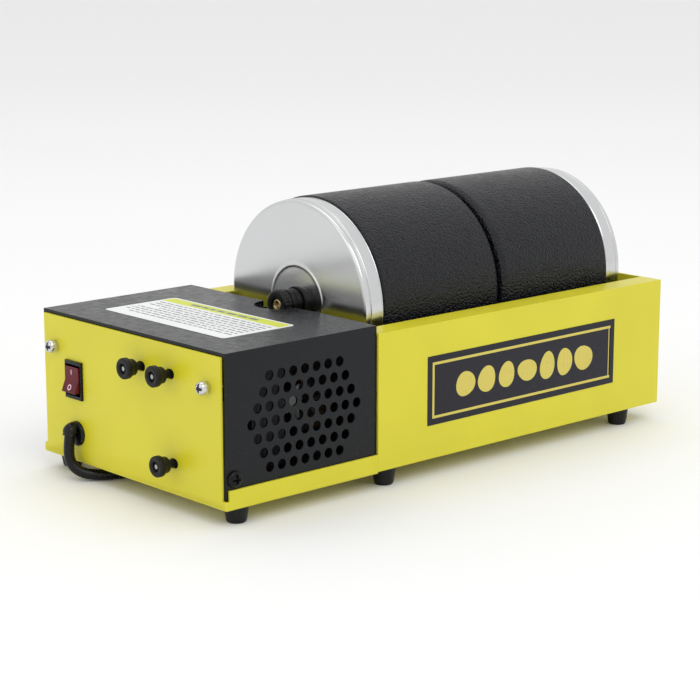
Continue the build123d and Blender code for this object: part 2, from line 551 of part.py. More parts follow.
BRACKET_T = 2.0
MOTOR_BUSH_R = 6.0
MOTOR_BEARINGS = [(STACK_X0 - 15.0, STACK_X0 - 7.0), (STACK_X1 + 7.0, STACK_X1 + 15.0)]
with BuildPart() as motor_brackets:
    for far_x, near_x in ((STACK_X0 - 13.0, STACK_X0), (STACK_X1 + 13.0, STACK_X1)):
        away = 1 if far_x > near_x else -1
        plate_near = far_x - away * BRACKET_T
        low_x = min(near_x, far_x)
        high_x = max(near_x, far_x)
        block(min(plate_near, far_x), max(plate_near, far_x), MOTOR_Y - 24, MOTOR_Y + 24,
              MOTOR_Z - 9, MOTOR_Z + 9)
        for leg in (-1, 1):
            leg_out = MOTOR_Y + leg * 24
            leg_in = MOTOR_Y + leg * 16
            block(low_x, high_x, min(leg_out, leg_in), max(leg_out, leg_in), MOTOR_Z - 5, MOTOR_Z + 5)
        rod(low_x - 1, high_x + 1, MOTOR_Y, MOTOR_Z, MOTOR_BUSH_R, Mode.SUBTRACT)
        for bolt_y, bolt_z in STACK_BOLTS:
            rod(low_x - 1, high_x + 1, bolt_y, bolt_z, 1.7, Mode.SUBTRACT)
save(motor_brackets, "motor_brackets")

with BuildPart() as motor_bushes:
    for bush_x0, bush_x1 in MOTOR_BEARINGS:
        tube_x(bush_x0, bush_x1, MOTOR_Y, MOTOR_Z, MOTOR_BUSH_R, MOTOR_SHAFT_R + RUN_FIT)
save(motor_bushes, "motor_bushes")

with BuildPart() as bracket_bolts:
    for bolt_y, bolt_z in STACK_BOLTS:
        rod(MOTOR_PLATE_X + 1.6, STACK_X1 + 18.0, bolt_y, bolt_z, 1.6)
        rod(STACK_X1 + 13.0, STACK_X1 + 15.6, bolt_y, bolt_z, 3.0)
save(bracket_bolts, "bracket_bolts")

with BuildPart() as bracket_spacers:
    for bolt_y, bolt_z in STACK_BOLTS:
        tube_x(MOTOR_PLATE_X + 1.6, STACK_X0 - 13.0, bolt_y, bolt_z, 3.5, 1.65)
save(bracket_spacers, "bracket_spacers")

with BuildPart() as motor_rotor:
    tube_x(STACK_X0 - 0.5, STACK_X1 + 0.5, MOTOR_Y, MOTOR_Z, ROTOR_R, MOTOR_SHAFT_R)
save(motor_rotor, "motor_rotor")

with BuildPart() as motor_shaft:
    rod(STACK_X0 - 17.0, PULLEY_X + PULLEY_HALF_W + 1.5, MOTOR_Y, MOTOR_Z, MOTOR_SHAFT_R)
save(motor_shaft, "motor_shaft")

FAN_X = STACK_X1 + 19.5
FAN_R = 26.0
FAN_HUB_R = 7.0
FAN_DEPTH = 7.5
FAN_BLADES = 8
with BuildPart() as cooling_fan:
    tube_x(FAN_X, FAN_X + FAN_DEPTH, MOTOR_Y, MOTOR_Z, FAN_HUB_R, MOTOR_SHAFT_R)
    blade_len = FAN_R - FAN_HUB_R + 0.5
    with BuildSketch(Plane.YZ.offset(FAN_X)):
        with Locations((MOTOR_Y, MOTOR_Z)):
            with PolarLocations(FAN_R - blade_len / 2, FAN_BLADES):
                Rectangle(blade_len, 1.4)
    extrude(amount=FAN_DEPTH)
save(cooling_fan, "cooling_fan")

# ---------------------------------------------------------------- pulleys and belt


def grooved(outer_r, belt_line_r, bore_r):
    """Profile of a pulley with a round groove, as a turned polygon with a half-round notch."""
    root_r = belt_line_r - BELT_R - GROOVE_GAP
    steps = 10
    notch = []
    throat = BELT_R + GROOVE_GAP
    for step in range(steps + 1):
        angle = math.pi + math.pi * step / steps
        notch.append((PULLEY_X + throat * math.cos(angle), belt_line_r + throat * math.sin(angle)))
    notch = [(x, max(r, root_r)) for x, r in notch]
    return ([(PULLEY_X - PULLEY_HALF_W, bore_r), (PULLEY_X - PULLEY_HALF_W, outer_r),
             (PULLEY_X - throat, outer_r)] + notch
            + [(PULLEY_X + throat, outer_r), (PULLEY_X + PULLEY_HALF_W, outer_r),
               (PULLEY_X + PULLEY_HALF_W, bore_r)])


with BuildPart() as motor_pulley:
    turned(grooved(BELT_SMALL_R + 1.6, BELT_SMALL_R, MOTOR_SHAFT_R), MOTOR_Y, MOTOR_Z)
save(motor_pulley, "motor_pulley")

with BuildPart() as drive_pulley:
    turned(grooved(BELT_BIG_R + 1.6, BELT_BIG_R, SHAFT_R), ROLLER_Y, ROLLER_Z)
    # hub with a set screw on the partition side
    tube_x(PULLEY_X + PULLEY_HALF_W, PULLEY_X + PULLEY_HALF_W + 5.0, ROLLER_Y, ROLLER_Z, 9.0, SHAFT_R)
save(drive_pulley, "drive_pulley")

belt_span = Vector(MOTOR_Y - ROLLER_Y, MOTOR_Z - ROLLER_Z, 0)
belt_heading = math.atan2(belt_span.Y, belt_span.X)
belt_lean = math.acos((BELT_BIG_R - BELT_SMALL_R) / belt_span.length)


def on_pulley(centre_y, centre_z, radius, angle):
    """A point of the belt line on a pulley."""
    return (centre_y + radius * math.cos(angle), centre_z + radius * math.sin(angle))


with BuildPart() as drive_belt:
    with BuildLine(Plane.YZ.offset(PULLEY_X)) as belt_line:
        upper = belt_heading - belt_lean
        lower = belt_heading + belt_lean
        big_a = on_pulley(ROLLER_Y, ROLLER_Z, BELT_BIG_R, upper)
        big_b = on_pulley(ROLLER_Y, ROLLER_Z, BELT_BIG_R, lower)
        big_mid = on_pulley(ROLLER_Y, ROLLER_Z, BELT_BIG_R, belt_heading + math.pi)
        small_a = on_pulley(MOTOR_Y, MOTOR_Z, BELT_SMALL_R, upper)
        small_b = on_pulley(MOTOR_Y, MOTOR_Z, BELT_SMALL_R, lower)
        small_mid = on_pulley(MOTOR_Y, MOTOR_Z, BELT_SMALL_R, belt_heading)
        Line(big_a, small_a)
        ThreePointArc(small_a, small_mid, small_b)
        Line(small_b, big_b)
        ThreePointArc(big_b, big_mid, big_a)
    run = Vector(0, small_a[0] - big_a[0], small_a[1] - big_a[1])
    with BuildSketch(Plane(origin=Vector(PULLEY_X, big_a[0], big_a[1]), z_dir=run)):
        Circle(BELT_R)
    sweep(path=belt_line.wires()[0])
save(drive_belt, "drive_belt")

# ---------------------------------------------------------------- rollers
SLEEVE_RUNS = [(PLATE_X + 120.0, PLATE_X + 214.0), (PLATE_X + 227.0, PLATE_X + 322.0)]
SHAFT_END = TRAY_X1 + 1.2
with BuildPart() as roller_bushes:
    for bush_y in (-ROLLER_Y, ROLLER_Y):
        bore = SHAFT_R + RUN_FIT
        turned([(TRAY_X0 - 4.0, bore), (TRAY_X0 - 4.0, BUSH_R), (TRAY_X0 + SHEET, BUSH_R),
                (TRAY_X0 + SHEET, BUSH_FLANGE_R), (TRAY_X0 + SHEET + 2.0, BUSH_FLANGE_R),
                (TRAY_X0 + SHEET + 2.0, bore)], bush_y, ROLLER_Z)
        turned([(TRAY_X1 - SHEET - 2.0, bore), (TRAY_X1 - SHEET - 2.0, BUSH_FLANGE_R),
                (TRAY_X1 - SHEET, BUSH_FLANGE_R), (TRAY_X1 - SHEET, BUSH_R), (TRAY_X1 + 0.8, BUSH_R),
                (TRAY_X1 + 0.8, bore)], bush_y, ROLLER_Z)
save(roller_bushes, "roller_bushes")

COLLAR_R = 7.5
COLLARS = [(TRAY_X0 + SHEET + 2.3, TRAY_X0 + SHEET + 8.3), (TRAY_X1 - SHEET - 8.3, TRAY_X1 - SHEET - 2.3)]
for name, roller_y, shaft_x0 in (("drive", ROLLER_Y, PULLEY_X - PULLEY_HALF_W - 2.0),
                                 ("idler", -ROLLER_Y, TRAY_X0 - 6.0)):
    with BuildPart() as shaft:
        rod(shaft_x0, SHAFT_END, roller_y, ROLLER_Z, SHAFT_R)
        chamfer(shaft.edges().filter_by(GeomType.CIRCLE), 0.6)
    save(shaft, name + "_shaft")
    with BuildPart() as sleeves:
        for sleeve_x0, sleeve_x1 in SLEEVE_RUNS:
            tube_x(sleeve_x0, sleeve_x1, roller_y, ROLLER_Z, SLEEVE_R, SHAFT_R)
    save(sleeves, name + "_sleeves")
    with BuildPart() as collars:
        for collar_x0, collar_x1 in COLLARS:
            tube_x(collar_x0, collar_x1, roller_y, ROLLER_Z, COLLAR_R, SHAFT_R)
            # set-screw socket in the top of each collar
            post((collar_x0 + collar_x1) / 2, roller_y, ROLLER_Z + 5.0, ROLLER_Z + COLLAR_R + 1, 1.5,
                 Mode.SUBTRACT)
    save(collars, name + "_collars")

# ---------------------------------------------------------------- barrels
BARREL_BORE_R = 50.0
MOUTH_R = 55.6                          # rubber under the metal cap
CAP_R = 57.2
CAP_SKIRT = 12.7
CAP_T = 0.9
MOUTH_BACK = 2.6                        # lid face to the rubber's mouth
END_WALL = 8.0
LID_GAP = 0.15
STUD_R = 2.0
INSERT_R = 3.1
RING_R = 20.8
WASHER_T = 1.2
KNOB_R = 8.4
KNOB_BACK = WASHER_T + 0.15             # lid face to the knob's back

for name, face_x, inward in (("near", PLATE_X + LID_FACE_FROM_PLATE, 1),
                             ("far", PLATE_X + FAR_FACE_FROM_PLATE, -1)):

    def at(depth):
        """X of a plane that lies depth inside the lid's face."""
        return face_x + inward * depth

    with BuildPart() as shell:
        turned([(at(MOUTH_BACK), BARREL_BORE_R), (at(MOUTH_BACK), MOUTH_R), (at(CAP_SKIRT + 0.3), MOUTH_R),
                (at(CAP_SKIRT + 0.3), BARREL_R - 0.8), (at(CAP_SKIRT + 1.1), BARREL_R),
                (at(BARREL_LEN - 3.0), BARREL_R), (at(BARREL_LEN - 1.6), BARREL_R - 0.6),
                (at(BARREL_LEN - 0.6), BARREL_R - 1.7), (at(BARREL_LEN), BARREL_R - 3.2),
                (at(BARREL_LEN), 0), (at(BARREL_LEN - END_WALL), 0),
                (at(BARREL_LEN - END_WALL), BARREL_BORE_R - 4.0),
                (at(BARREL_LEN - END_WALL - 4.0), BARREL_BORE_R)], 0, BARREL_AXIS_Z)
    save(shell, name + "_barrel_shell")

    with BuildPart() as inner_lid:
        turned([(at(CAP_T), STUD_R), (at(CAP_T), MOUTH_R), (at(MOUTH_BACK - LID_GAP), MOUTH_R),
                (at(MOUTH_BACK - LID_GAP), BARREL_BORE_R - 0.35), (at(8.6), BARREL_BORE_R - 0.35),
                (at(9.4), BARREL_BORE_R - 1.2), (at(9.4), STUD_R)], 0, BARREL_AXIS_Z)
    save(inner_lid, name + "_inner_lid")

    with BuildPart() as cap:
        with BuildSketch(Plane(origin=(0, 0, BARREL_AXIS_Z), x_dir=(1, 0, 0), z_dir=(0, -1, 0))):
            with BuildLine():
                Polyline((at(0), STUD_R + 0.2), (at(0), CAP_R - 2.4), (at(0.5), CAP_R - 1.1),
                         (at(1.7), CAP_R - 0.4), (at(3.2), CAP_R - 0.4), (at(3.5), CAP_R),
                         (at(CAP_SKIRT), CAP_R), (at(CAP_SKIRT), CAP_R - CAP_T),
                         (at(CAP_T), CAP_R - CAP_T - 0.4), (at(CAP_T), STUD_R + 0.2), close=True)
            make_face()
        revolve(axis=Axis((0, 0, BARREL_AXIS_Z), (1, 0, 0)))
        # raised ring pressed into the lid's face
        turned([(at(0), RING_R - 1.1), (at(-0.45), RING_R - 0.5), (at(-0.45), RING_R + 0.5),
                (at(0), RING_R + 1.1), (at(0.3), RING_R + 1.1), (at(0.3), RING_R - 1.1)], 0, BARREL_AXIS_Z)
    save(cap, name + "_lid_cap")

    with BuildPart() as stud:
        turned([(at(12.4), 0), (at(12.4), 6.0), (at(9.4), 6.0), (at(9.4), STUD_R),
                (at(2.6 - KNOB_LEN), STUD_R), (at(2.1 - KNOB_LEN), STUD_R - 0.5),
                (at(2.1 - KNOB_LEN), 0)], 0, BARREL_AXIS_Z)
    save(stud, name + "_lid_stud")

    with BuildPart() as washer:
        turned([(at(-WASHER_T), STUD_R + 0.2), (at(-WASHER_T), 8.6), (at(0), 8.6),
                (at(0), STUD_R + 0.2)], 0, BARREL_AXIS_Z)
    save(washer, name + "_lid_washer")

    with BuildPart() as knob:
        turned([(at(-KNOB_BACK), INSERT_R), (at(-KNOB_BACK), 7.6), (at(-5.2), 7.6), (at(-5.4), 7.0),
                (at(-5.9), 7.0), (at(-6.1), 8.0), (at(-8.9), 8.0), (at(-9.2), 6.8), (at(-10.2), 6.8),
                (at(-10.5), KNOB_R), (at(-KNOB_LEN + 0.9), KNOB_R), (at(-KNOB_LEN), KNOB_R - 0.9),
                (at(-KNOB_LEN), INSERT_R)], 0, BARREL_AXIS_Z)
        # grip flutes round the front disc
        with BuildSketch(Plane.YZ.offset(min(at(-10.0), at(-KNOB_LEN - 1)))):
            with Locations((0, BARREL_AXIS_Z)):
                with PolarLocations(KNOB_R + 0.35, 24):
                    Circle(0.6)
        extrude(amount=KNOB_LEN - 9.0, mode=Mode.SUBTRACT)
    save(knob, name + "_knob_grip")

    with BuildPart() as insert:
        tube_x(min(at(-KNOB_BACK), at(-KNOB_LEN + 0.4)), max(at(-KNOB_BACK), at(-KNOB_LEN + 0.4)),
               0, BARREL_AXIS_Z, INSERT_R, STUD_R + RUN_FIT)
    save(insert, name + "_knob_insert")

# ---------------------------------------------------------------- internal wiring
WIRE_R = 1.1
CRIMP_Z = PAN_Z + SHEET + 5.0
lead_wires = [
    [(6.0, RELIEF_Y, RELIEF_Z), (16.0, RELIEF_Y + 1, RELIEF_Z - 1), (26.0, 42.0, 17.0),
     (34.0, 36.0, 15.4), (40.0, 34.0, CRIMP_Z)],
    [(22.0, SWITCH_Y, SWITCH_Z), (30.0, SWITCH_Y - 1, SWITCH_Z - 4), (34.0, 38.0, 36.0),
     (35.0, 26.0, 22.0), (40.0, 20.0, CRIMP_Z)],
    [(29.5, MOTOR_Y + 14, STACK_LOW_Z + 4), (25.0, MOTOR_Y + 20, STACK_LOW_Z + 3),
     (24.0, 4.0, 18.0), (30.0, 14.0, 16.0), (40.0, 18.4, CRIMP_Z)],
]
with BuildPart() as wiring_harness:
    for route in lead_wires:
        wire_points = [Vector(PLATE_X + x, y, z) for x, y, z in route]
        with BuildLine() as wire_path:
            FilletPolyline(*wire_points, radius=corner_radii(wire_points))
        with BuildSketch(Plane(origin=wire_points[0], z_dir=wire_points[1] - wire_points[0])):
            Circle(WIRE_R)
        sweep(path=wire_path.wires()[0])
    # closed-end crimp caps that join the leads
    for crimp_y in (20.0, 34.0):
        turned([(PLATE_X + 39.0, 0), (PLATE_X + 39.0, 4.6), (PLATE_X + 51.0, 3.4), (PLATE_X + 54.0, 2.0),
                (PLATE_X + 54.0, 0)], crimp_y, CRIMP_Z)
save(wiring_harness, "wiring_harness")
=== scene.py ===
import json
import math
import random

import bmesh
import bpy
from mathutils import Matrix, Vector

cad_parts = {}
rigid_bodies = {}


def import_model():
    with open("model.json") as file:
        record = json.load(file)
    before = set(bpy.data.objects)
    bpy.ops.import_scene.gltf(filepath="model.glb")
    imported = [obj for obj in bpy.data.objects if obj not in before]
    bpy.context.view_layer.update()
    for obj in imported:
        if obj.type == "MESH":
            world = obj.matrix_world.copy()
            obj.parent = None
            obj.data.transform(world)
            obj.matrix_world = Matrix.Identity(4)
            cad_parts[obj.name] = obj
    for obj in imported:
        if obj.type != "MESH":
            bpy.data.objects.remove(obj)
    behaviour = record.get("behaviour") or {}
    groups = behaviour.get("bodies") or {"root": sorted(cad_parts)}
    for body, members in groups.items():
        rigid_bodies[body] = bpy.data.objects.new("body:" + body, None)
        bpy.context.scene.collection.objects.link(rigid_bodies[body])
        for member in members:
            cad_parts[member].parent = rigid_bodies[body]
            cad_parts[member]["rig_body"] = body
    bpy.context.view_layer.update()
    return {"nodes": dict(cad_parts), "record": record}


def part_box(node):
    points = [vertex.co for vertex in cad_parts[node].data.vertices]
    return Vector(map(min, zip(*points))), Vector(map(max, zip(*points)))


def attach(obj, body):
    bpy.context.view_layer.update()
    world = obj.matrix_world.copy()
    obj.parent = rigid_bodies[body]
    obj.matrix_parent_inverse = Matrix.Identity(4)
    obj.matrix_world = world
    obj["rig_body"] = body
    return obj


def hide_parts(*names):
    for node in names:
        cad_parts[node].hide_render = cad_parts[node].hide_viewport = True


# Looks of a rotary rock tumbler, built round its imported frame.  Metres, in the frame's own
# axes: X runs along the barrels, -Y is the decal side and +Z is up.

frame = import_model()

MM = 0.001
WELD = 1e-7                                  # points nearer than this are one point
WELD_CAD = 2e-6                              # the same, for the CAD's triangles
FLAT_DEGREES = 0.5                           # faces closer in angle than this are one face
EDGE_DEGREES = 40                            # edges sharper than this are broken by a bevel
LIFT = 0.00002                               # clearance of printing above its film
PLATE_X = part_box("base_pan")[0].x            # outer face of the end plate
HALF_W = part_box("base_pan")[1].y             # half the width over pan and tray
PAN_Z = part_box("base_pan")[0].z              # underside of the pan
TRAY_X0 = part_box("tray_channel")[0].x
TRAY_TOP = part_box("tray_channel")[1].z
BARREL_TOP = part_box("near_barrel_shell")[1].z
BARREL_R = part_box("near_barrel_shell")[1].y
AXIS_Z = BARREL_TOP - BARREL_R               # common axis of barrels, lids and knobs


# ---------------------------------------------------------------- camera
def add_camera():
    """The camera, at the viewing angle of the reference view."""
    data = bpy.data.cameras.new("camera")
    data.sensor_width = 36.0
    data.lens = 105.36
    data.clip_start = 0.05
    camera = bpy.data.objects.new("camera", data)
    camera.location = (-0.78041, -0.84721, 0.30912)
    camera.rotation_euler = (math.radians(77.548), 0.0, math.radians(-42.366))
    bpy.context.scene.collection.objects.link(camera)
    bpy.context.scene.camera = camera


add_camera()


# ---------------------------------------------------------------- finishes
class Finish:
    """A Principled material whose colour, gloss and relief come from procedural textures."""

    def __init__(self, name, colour, roughness, metallic=0.0, **sockets):
        self.name = name
        self.material = bpy.data.materials.new(name + "_finish")
        self.material.use_nodes = True
        self.nodes = self.material.node_tree.nodes
        self.links = self.material.node_tree.links
        self.shader = self.nodes["Principled BSDF"]
        self.colour = colour
        self.set("Base Color", (*colour, 1.0))
        self.set("Roughness", roughness)
        self.set("Metallic", metallic)
        for socket, value in sockets.items():
            self.set(socket.replace("_", " "), value)
        self.normal = None
        self.material.diffuse_color = (*colour, 1.0)

    def set(self, socket, value):
        """Set one of the shader's own constants."""
        self.shader.inputs[socket].default_value = value

    def place(self, stretch=(1.0, 1.0, 1.0)):
        """Object coordinates, in metres, stretched along the axes."""
        where = self.nodes.new("ShaderNodeTexCoord")
        mapping = self.nodes.new("ShaderNodeMapping")
        mapping.inputs["Scale"].default_value = stretch
        self.links.new(where.outputs["Object"], mapping.inputs["Vector"])
        return mapping.outputs["Vector"]

    def noise(self, grain, detail=3.0, stretch=(1.0, 1.0, 1.0), vector=None):
        """Noise whose features are about grain metres across."""
        texture = self.nodes.new("ShaderNodeTexNoise")
        texture.inputs["Scale"].default_value = 1.0 / grain
        texture.inputs["Detail"].default_value = detail
        self.links.new(vector or self.place(stretch), texture.inputs["Vector"])
        return texture.outputs["Fac"]

    def cells(self, grain):
        """Distance inside soft-edged cells that are about grain metres across."""
        texture = self.nodes.new("ShaderNodeTexVoronoi")
        texture.feature = "SMOOTH_F1"
        texture.inputs["Scale"].default_value = 1.0 / grain
        self.links.new(self.place(), texture.inputs["Vector"])
        return texture.outputs["Distance"]

    def axis_distance(self, axis_y, axis_z):
        """Distance from a line along X."""
        split = self.nodes.new("ShaderNodeSeparateXYZ")
        self.links.new(self.place(), split.inputs["Vector"])
        across = []
        for output, centre in (("Y", axis_y), ("Z", axis_z)):
            away = self.math("SUBTRACT", split.outputs[output], centre)
            across.append(self.math("POWER", self.math("ABSOLUTE", away), 2.0))
        return self.math("SQRT", self.math("ADD", across[0], across[1]))

    def math(self, operation, first, second=0.0):
        """One Math node; either side is a socket or a number."""
        node = self.nodes.new("ShaderNodeMath")
        node.operation = operation
        for socket, value in zip(node.inputs, (first, second)):
            if isinstance(value, (int, float)):
                socket.default_value = value
            else:
                self.links.new(value, socket)
        return node.outputs["Value"]

    def spread(self, texture, low, high, start=0.3, end=0.7):
        """Map a texture onto the range from low to high."""
        node = self.nodes.new("ShaderNodeMapRange")
        node.inputs["From Min"].default_value = start
        node.inputs["From Max"].default_value = end
        node.inputs["To Min"].default_value = low
        node.inputs["To Max"].default_value = high
        self.links.new(texture, node.inputs["Value"])
        return node.outputs["Result"]

    def vary_colour(self, texture, dark, light):
        """Mix two shades of the finish's colour by a texture."""
        ramp = self.nodes.new("ShaderNodeValToRGB")
        ramp.color_ramp.elements[0].position = 0.3
        ramp.color_ramp.elements[1].position = 0.7
        ramp.color_ramp.elements[0].color = (*[c * dark for c in self.colour], 1.0)
        ramp.color_ramp.elements[1].color = (*[min(1.0, c * light) for c in self.colour], 1.0)
        self.links.new(texture, ramp.inputs["Fac"])
        self.links.new(ramp.outputs["Color"], self.shader.inputs["Base Color"])

    def vary_roughness(self, texture, low, high):
        """Let the gloss wander between two values."""
        self.links.new(self.spread(texture, low, high), self.shader.inputs["Roughness"])

    def relief(self, texture, height):
        """Add relief of about height metres on top of what is there."""
        bump = self.nodes.new("ShaderNodeBump")
        bump.inputs["Strength"].default_value = 1.0
        bump.inputs["Distance"].default_value = height
        self.links.new(texture, bump.inputs["Height"])
        if self.normal is not None:
            self.links.new(self.normal, bump.inputs["Normal"])
        self.normal = bump.outputs["Normal"]
        self.links.new(self.normal, self.shader.inputs["Normal"])


def paint(name, colour, roughness, orange_peel, **sockets):
    """Powder coat: fine orange peel with a little uneven gloss."""
    finish = Finish(name, colour, roughness, **sockets)
    finish.vary_colour(finish.noise(0.06, 2.0), 0.96, 1.03)
    finish.vary_roughness(finish.noise(0.004, 3.0), roughness - 0.05, roughness + 0.07)
    finish.relief(finish.noise(0.0009, 2.0), orange_peel)
    return finish


def yellow_paint():
    """Yellow powder coat; the faces inside the motor box get a near-black painted shade, so that they look
    dark through the vents.
    """
    finish = paint("yellow_paint", (0.66, 0.60, 0.020), 0.36, 0.00002)
    coat = finish.shader.inputs["Base Color"].links[0].from_socket
    split = finish.nodes.new("ShaderNodeSeparateXYZ")
    finish.links.new(finish.place(), split.inputs["Vector"])
    x, y, z = (split.outputs[axis] for axis in "XYZ")
    # mask of the faces inside the motor box, which are given the painted shade
    limits = [
        finish.math("GREATER_THAN", x, PLATE_X + 0.00115),
        finish.math("LESS_THAN", x, TRAY_X0 + 0.0003),
        finish.math("LESS_THAN", finish.math("ABSOLUTE", y), HALF_W - 0.0013),
        finish.math("GREATER_THAN", z, PAN_Z + 0.0011),
        finish.math("LESS_THAN", z, TRAY_TOP - 0.0013),
    ]
    inside = limits[0]
    for limit in limits[1:]:
        inside = finish.math("MULTIPLY", inside, limit)
    mix = finish.nodes.new("ShaderNodeMix")
    mix.data_type = "RGBA"
    coat_socket, shade_socket = [socket for socket in mix.inputs if socket.type == "RGBA"]
    mixed = [socket for socket in mix.outputs if socket.type == "RGBA"][0]
    finish.links.new(coat, coat_socket)
    # near black: painted shade for the inside of the motor box
    shade_socket.default_value = (0.01, 0.01, 0.011, 1.0)
    finish.links.new(inside, mix.inputs["Factor"])
    finish.links.new(mixed, finish.shader.inputs["Base Color"])
    return finish


def moulded(name, colour, roughness, grain=0.0006, height=0.00003, **sockets):
    """Moulded rubber or plastic with a fine grain."""
    finish = Finish(name, colour, roughness, Specular_IOR_Level=0.28, **sockets)
    finish.vary_colour(finish.noise(0.01, 3.0), 0.8, 1.25)
    finish.vary_roughness(finish.noise(0.003, 4.0), roughness - 0.08, roughness + 0.08)
    finish.relief(finish.noise(grain, 3.0), height)
    return finish


def metal(name, colour, roughness, grain=0.0008, stretch=(1.0, 1.0, 1.0)):
    """Bare or plated metal with faint tool marks along one direction."""
    finish = Finish(name, colour, roughness, 1.0)
    finish.vary_colour(finish.noise(0.008, 3.0), 0.9, 1.06)
    finish.vary_roughness(finish.noise(grain, 4.0, stretch), roughness - 0.05, roughness + 0.08)
    finish.relief(finish.noise(grain, 3.0, stretch), 0.000008)
    return finish


def barrel_rubber():
    """Leather-grained rubber: small rounded pebbles with fine creases between them."""
    finish = Finish("barrel_rubber", (0.003, 0.0034, 0.0056), 0.33, Specular_IOR_Level=0.3)
    pebbles = finish.cells(0.00105)
    # lighter pebble tops and darker creases between them: painted highlight and painted shade on the grain
    finish.vary_colour(pebbles, 1.8, 0.4)
    finish.vary_roughness(finish.noise(0.006, 4.0), 0.28, 0.38)
    finish.relief(finish.noise(0.0005, 2.0), 0.0001)
    finish.relief(finish.math("SUBTRACT", 1.0, pebbles), 0.0008)
    return finish


def spun_aluminium():
    """Satin spun aluminium: faint rings about the barrel axis and slightly uneven gloss."""
    finish = Finish("lid_aluminium", (0.66, 0.665, 0.67), 0.21, 1.0)
    radius = finish.axis_distance(0.0, AXIS_Z)
    rings = finish.nodes.new("ShaderNodeCombineXYZ")
    finish.links.new(radius, rings.inputs["X"])
    ring_noise = finish.noise(0.0005, 4.0, vector=rings.outputs["Vector"])
    finish.vary_colour(finish.noise(0.04, 2.0), 0.98, 1.02)
    finish.vary_roughness(finish.noise(0.02, 2.0), 0.19, 0.23)
    finish.relief(ring_noise, 0.000004)
    return finish


def winding():
    """Enamelled copper wire laid side by side round a coil."""
    finish = Finish("copper_winding", (0.42, 0.14, 0.05), 0.35, 0.6)
    finish.vary_colour(finish.noise(0.003, 3.0), 0.7, 1.2)
    finish.relief(finish.noise(0.0007, 1.0, (0.05, 1.0, 1.0)), 0.0002)
    return finish


def laminations():
    """Stacked steel sheets, seen edge on along X."""
    finish = Finish("lamination_steel", (0.05, 0.05, 0.055), 0.5, 0.7)
    finish.vary_colour(finish.noise(0.0008, 2.0, (1.0, 0.02, 0.02)), 0.6, 1.2)
    finish.relief(finish.noise(0.0006, 1.0, (1.0, 0.01, 0.01)), 0.0001)
    return finish


def all_finishes():
    """One finish for each material slot of the record."""
    made = [
        yellow_paint(),
        paint("black_paint", (0.003, 0.004, 0.0060), 0.29, 0.00003, Specular_IOR_Level=0.27),
        paint("label_film", (0.80, 0.81, 0.81), 0.35, 0.000004),
        paint("decal_film", (0.003, 0.003, 0.010), 0.3, 0.000004, Specular_IOR_Level=0.35),
        metal("chrome_screw", (0.62, 0.62, 0.63), 0.1),
        moulded("black_screw", (0.004, 0.004, 0.005), 0.25, metallic=0.3),
        moulded("black_rubber", (0.004, 0.004, 0.005), 0.45),
        barrel_rubber(),
        metal("zinc_steel", (0.4, 0.4, 0.39), 0.32),
        moulded("switch_plastic", (0.004, 0.004, 0.005), 0.28, height=0.00001),
        moulded("rocker_red", (0.095, 0.004, 0.009), 0.25, height=0.00001),
        metal("brass", (0.78, 0.6, 0.28), 0.25),
        moulded("cord_pvc", (0.003, 0.003, 0.004), 0.26, grain=0.002),
        laminations(),
        winding(),
        metal("bronze", (0.56, 0.38, 0.18), 0.4),
        moulded("fan_plastic", (0.03, 0.03, 0.03), 0.5),
        metal("turned_aluminium", (0.7, 0.7, 0.71), 0.3, 0.0006),
        moulded("belt_rubber", (0.42, 0.09, 0.02), 0.35),
        spun_aluminium(),
        moulded("knob_plastic", (0.003, 0.003, 0.004), 0.3, height=0.00002),
        moulded("wire_insulation", (0.4, 0.4, 0.38), 0.4),
    ]
    return {finish.name: finish.material for finish in made}


FINISHES = all_finishes()


def marking(name, colour, roughness=0.4):
    """Printing ink on a film; the same recipe also gives the near-black painted shade in the screw recesses.
    """
    return paint(name, colour, roughness, 0.000003).material


INK_GREY = marking("ink_grey", (0.16, 0.17, 0.18))
INK_GREEN = marking("ink_green", (0.60, 0.66, 0.03))
INK_YELLOW = marking("ink_yellow", (0.62, 0.52, 0.09), 0.3)
# near black: painted shade for the floors of the screw recesses
RECESS_SHADE = marking("painted_recess_shade", (0.01, 0.01, 0.01), 0.6)
INK_WHITE = marking("ink_white", (0.85, 0.62, 0.7), 0.3)


# ---------------------------------------------------------------- mesh helpers
def add_piece(name, mesh, slot, body, *stands_for, material=None, sharp=35.0):
    """Link a mesh as a piece with its finish and its body, and hide the CAD nodes that it stands for."""
    mesh.materials.clear()
    mesh.materials.append(material or FINISHES[slot])
    mesh.shade_smooth()
    mesh.set_sharp_from_angle(angle=math.radians(sharp))
    piece = bpy.data.objects.new(name, mesh)
    bpy.context.scene.collection.objects.link(piece)
    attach(piece, body)
    if stands_for:
        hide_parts(*stands_for)
    return piece


def finished(work, name):
    """Turn a bmesh into a mesh with its faces outward."""
    bmesh.ops.remove_doubles(work, verts=work.verts, dist=WELD)
    bmesh.ops.recalc_face_normals(work, faces=work.faces)
    mesh = bpy.data.meshes.new(name)
    work.to_mesh(mesh)
    work.free()
    return mesh


def rounded(points, radius, steps=4):
    """The same outline with each inner corner eased by a short curve."""
    eased = [Vector(points[0])]
    for before, here, after in zip(points, points[1:], points[2:]):
        corner = Vector(here)
        back = Vector(before) - corner
        ahead = Vector(after) - corner
        cut = min(radius, 0.45 * back.length, 0.45 * ahead.length)
        start = corner + back.normalized() * cut
        end = corner + ahead.normalized() * cut
        for step in range(steps + 1):
            t = step / steps
            eased.append(start.lerp(corner, t).lerp(corner.lerp(end, t), t))
    eased.append(Vector(points[-1]))
    return eased


def sweep_rings(work, rings, closed_ends=False):
    """Join equal rings of points by quads, and cap the ends if asked."""
    made = [[work.verts.new(point) for point in ring] for ring in rings]
    count = len(made[0])
    for ring, following in zip(made, made[1:]):
        for i in range(count):
            j = (i + 1) % count
            work.faces.new((ring[i], ring[j], following[j], following[i]))
    if closed_ends:
        work.faces.new(made[0])
        work.faces.new(list(reversed(made[-1])))


